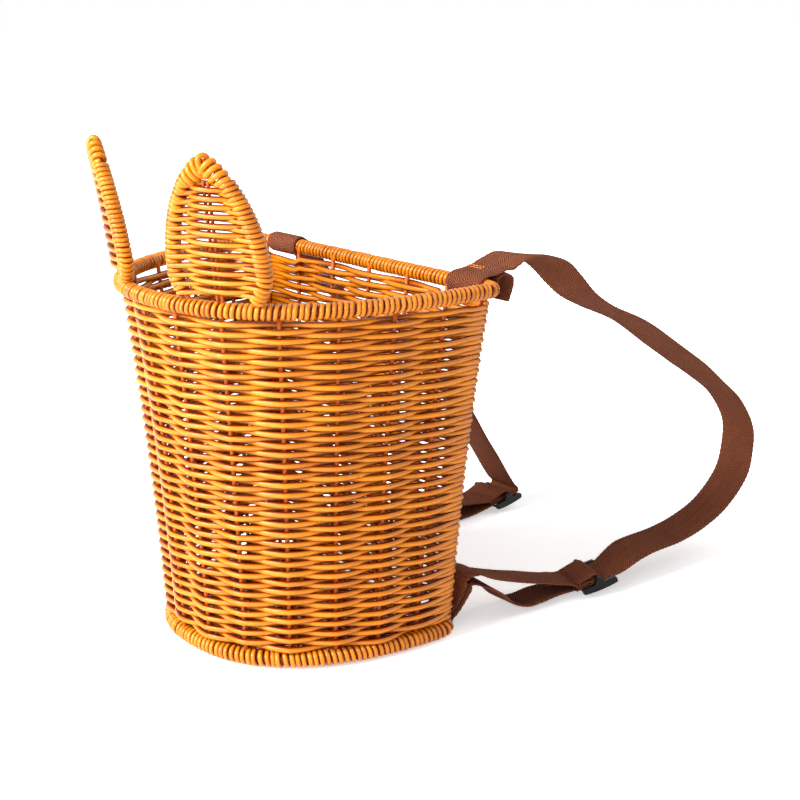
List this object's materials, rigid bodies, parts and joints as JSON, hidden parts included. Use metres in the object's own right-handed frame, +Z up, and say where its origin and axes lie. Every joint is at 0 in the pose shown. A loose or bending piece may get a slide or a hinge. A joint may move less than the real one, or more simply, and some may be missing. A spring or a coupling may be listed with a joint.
{
  "type": "basket backpack",
  "caption": "D-shaped woven basket with a bound rim, woven leaf-shaped ears on the front and a webbing shoulder strap with slider on each side of its flat back.",
  "frame": {"origin": "centre of the base's underside", "axes": "+Z up, +Y out of the flat back where the straps are, +X to the wearer's right of the back seen from behind"},
  "size_m": [0.2, 0.3781, 0.2634],
  "materials": {
    "strand": "satin",
    "stake": "satin",
    "webbing": "woven",
    "slider": "satin"
  },
  "bodies": {
    "basket": {"floor_panel": "strand", "base_binding": "strand", "rim_binding": "strand", "wall_weaver": "strand", "stake_01": "stake", "stake_02": "stake", "stake_03": "stake", "stake_04": "stake", "stake_05": "stake", "stake_06": "stake", "stake_07": "stake", "stake_08": "stake", "stake_09": "stake", "stake_10": "stake", "stake_11": "stake", "stake_12": "stake", "stake_13": "stake", "stake_14": "stake", "stake_15": "stake", "stake_16": "stake", "stake_17": "stake", "stake_18": "stake", "stake_19": "stake", "ear_right_wire": "stake", "ear_right_spine": "stake", "ear_right_weaver": "strand", "ear_left_wire": "stake", "ear_left_spine": "stake", "ear_left_weaver": "strand", "strap_right_upper_loop": "webbing", "strap_right_lower_loop": "webbing", "strap_right_neck": "webbing", "strap_left_upper_loop": "webbing", "strap_left_lower_loop": "webbing", "strap_left_neck": "webbing"},
    "strap_right": {"strap_right_shoulder": "webbing", "strap_right_lower_run": "webbing", "strap_right_return": "webbing"},
    "slider_right": {"slider_right": "slider"},
    "strap_left": {"strap_left_shoulder": "webbing", "strap_left_lower_run": "webbing", "strap_left_return": "webbing"},
    "slider_left": {"slider_left": "slider"}
  },
  "joints": [
    {"name": "strap_right_swing", "type": "hinge", "parent": "basket", "child": "strap_right", "pos_m": [0.069, 0.0748, 0.1102], "axis": [0, 0.0315, 0.9995], "range_deg": [-40, 12], "deforming": ["strap_right_neck", "strap_right_lower_run", "strap_right_return"]},
    {"name": "slider_right_slide", "type": "slide", "parent": "strap_right", "child": "slider_right", "axis": [0.3462, 0.9018, 0.2588], "range_m": [-0.005, 0.002], "deforming": ["strap_right_lower_run", "strap_right_return"]},
    {"name": "strap_left_swing", "type": "hinge", "parent": "basket", "child": "strap_left", "pos_m": [-0.069, 0.0768, 0.1022], "axis": [0, 0.0631, 0.998], "range_deg": [-12, 40], "deforming": ["strap_left_neck", "strap_left_lower_run", "strap_left_return"]},
    {"name": "slider_left_slide", "type": "slide", "parent": "strap_left", "child": "slider_left", "axis": [0, 0.9848, 0.1736], "range_m": [-0.009, 0.004], "deforming": ["strap_left_lower_run", "strap_left_return"]}
  ]
}
